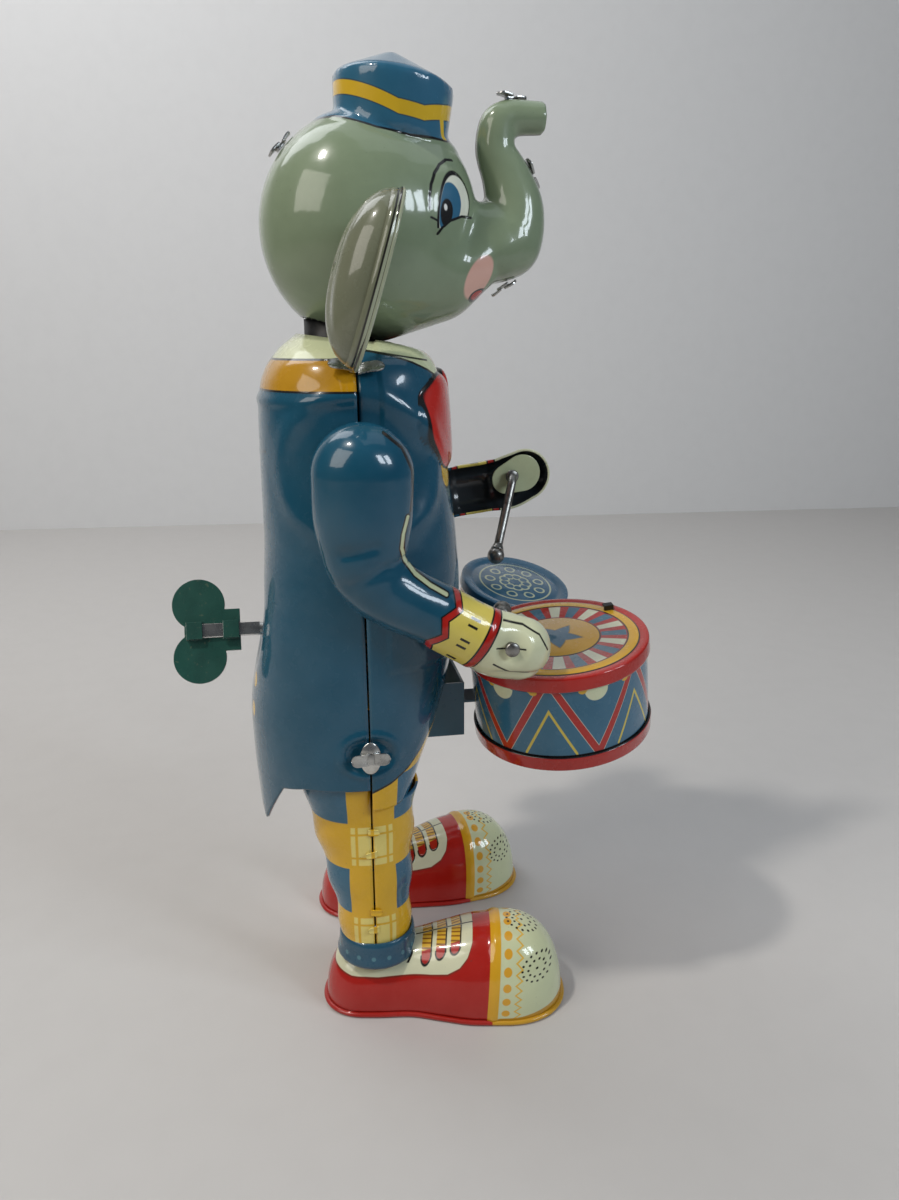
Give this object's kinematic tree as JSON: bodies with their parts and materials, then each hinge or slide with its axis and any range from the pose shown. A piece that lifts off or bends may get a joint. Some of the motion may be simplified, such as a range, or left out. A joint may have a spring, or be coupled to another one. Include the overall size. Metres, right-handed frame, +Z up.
{
  "type": "wind-up drumming elephant toy",
  "caption": "Standing clockwork elephant drummer in printed tin, with two hinged arms holding sticks over two drums and a winding key at the back.",
  "frame": {"origin": "middle of the bounding box at the level of the soles", "axes": "+Z up, the figure faces -Y, +X is the figure's left hand side"},
  "size_m": [0.08, 0.1102, 0.205],
  "materials": {
    "coat_tin": "glossy printed tin, blue",
    "sleeve_tin": "glossy printed tin, blue",
    "trouser_tin": "glossy printed tin, yellow and blue check",
    "shoe_tin": "glossy printed tin, red with cream toe",
    "hand_tin": "glossy printed tin, cream",
    "head_tin": "glossy printed tin, grey green",
    "bracket_tin": "semi-gloss painted tin, dark blue",
    "big_drum_tin": "glossy printed tin, red, blue and yellow",
    "small_drum_tin": "glossy printed tin, blue",
    "key_enamel": "glossy green enamel",
    "brass": "stamped brass",
    "dark_steel": "oiled dark steel",
    "bright_steel": "zinc plated steel"
  },
  "bodies": {
    "figure": {"body_front_shell": "coat_tin", "body_back_shell": "coat_tin", "leg_back_right": "trouser_tin", "leg_back_left": "trouser_tin", "shoe_right": "shoe_tin", "shoe_left": "shoe_tin", "sole_right": "shoe_tin", "sole_left": "shoe_tin", "shoulder_clips": "bright_steel", "hip_washers": "bright_steel", "hip_tabs": "bright_steel", "drum_bracket": "bracket_tin", "big_drum_wall": "big_drum_tin", "big_drum_top": "big_drum_tin", "big_drum_bottom": "big_drum_tin", "big_drum_tab": "dark_steel", "small_drum_wall": "small_drum_tin", "small_drum_head": "small_drum_tin", "small_drum_bottom": "small_drum_tin", "motor_back_plate": "bright_steel", "motor_front_plate": "bright_steel", "motor_pillars": "brass", "motor_feet": "bright_steel", "arm_bracket": "bright_steel", "neck_bracket": "bright_steel", "neck_pin": "bright_steel", "rocker_stud": "bright_steel", "mainspring": "dark_steel", "ratchet_click": "bright_steel"},
    "winding": {"winding_key": "key_enamel", "winding_arbor": "bright_steel", "great_wheel": "brass", "ratchet_wheel": "bright_steel"},
    "second": {"second_arbor": "bright_steel", "second_wheel": "brass"},
    "crank": {"crank_arbor": "bright_steel", "crank_wheel": "brass"},
    "escape": {"escape_arbor": "bright_steel", "escape_wheel": "brass"},
    "pallet": {"pallet": "bright_steel"},
    "rocker": {"rocker": "bright_steel"},
    "arm_right": {"arm_shell_right": "sleeve_tin", "palm_right": "hand_tin", "shoulder_plate_right": "sleeve_tin", "arm_shaft_right": "bright_steel", "arm_lever_right": "bright_steel", "drumstick_right": "bright_steel"},
    "arm_left": {"arm_shell_left": "sleeve_tin", "palm_left": "hand_tin", "shoulder_plate_left": "sleeve_tin", "arm_shaft_left": "bright_steel", "arm_lever_left": "bright_steel", "drumstick_left": "bright_steel"},
    "head": {"head_shell_right": "head_tin", "head_shell_left": "head_tin", "ear_right": "head_tin", "ear_left": "head_tin", "head_clips": "bright_steel", "neck_post": "dark_steel"}
  },
  "joints": [
    {"name": "crank_turn", "type": "hinge", "parent": "figure", "child": "crank", "pos_m": [0, 0.01164, 0.103], "axis": [0, 1, 0], "continuous": true},
    {"name": "winding_turn", "type": "hinge", "parent": "figure", "child": "winding", "pos_m": [0, 0.01164, 0.087], "axis": [0, 1, 0], "continuous": true},
    {"name": "second_turn", "type": "hinge", "parent": "figure", "child": "second", "pos_m": [-0.00988, 0.01164, 0.09761], "axis": [0, 1, 0], "continuous": true},
    {"name": "escape_turn", "type": "hinge", "parent": "figure", "child": "escape", "pos_m": [0.00971, 0.01164, 0.10385], "axis": [0, 1, 0], "continuous": true},
    {"name": "pallet_rock", "type": "hinge", "parent": "figure", "child": "pallet", "pos_m": [0.01476, 0.01164, 0.09664], "axis": [0, 1, 0], "range_deg": [-5, 5]},
    {"name": "rocker_tilt", "type": "hinge", "parent": "figure", "child": "rocker", "pos_m": [0, 0.00164, 0.117], "axis": [0, 1, 0], "range_deg": [-0.8, 14]},
    {"name": "right_arm_swing", "type": "hinge", "parent": "figure", "child": "arm_right", "pos_m": [0, 0.01314, 0.126], "axis": [-1, 0, 0], "range_deg": [-0.8, 14]},
    {"name": "left_arm_swing", "type": "hinge", "parent": "figure", "child": "arm_left", "pos_m": [0, 0.01314, 0.126], "axis": [-1, 0, 0], "range_deg": [-7, 0.4]},
    {"name": "head_nod", "type": "hinge", "parent": "figure", "child": "head", "pos_m": [0, 0.01464, 0.139], "axis": [1, 0, 0], "range_deg": [-4, 4]}
  ],
  "couplings": [
    {"joint": "winding_turn", "follows": "crank_turn", "ratio": 0.052083},
    {"joint": "second_turn", "follows": "crank_turn", "ratio": -0.25},
    {"joint": "escape_turn", "follows": "crank_turn", "ratio": -3.3333},
    {"joint": "right_arm_swing", "follows": "rocker_tilt", "ratio": 1},
    {"joint": "left_arm_swing", "follows": "rocker_tilt", "ratio": -0.5}
  ]
}
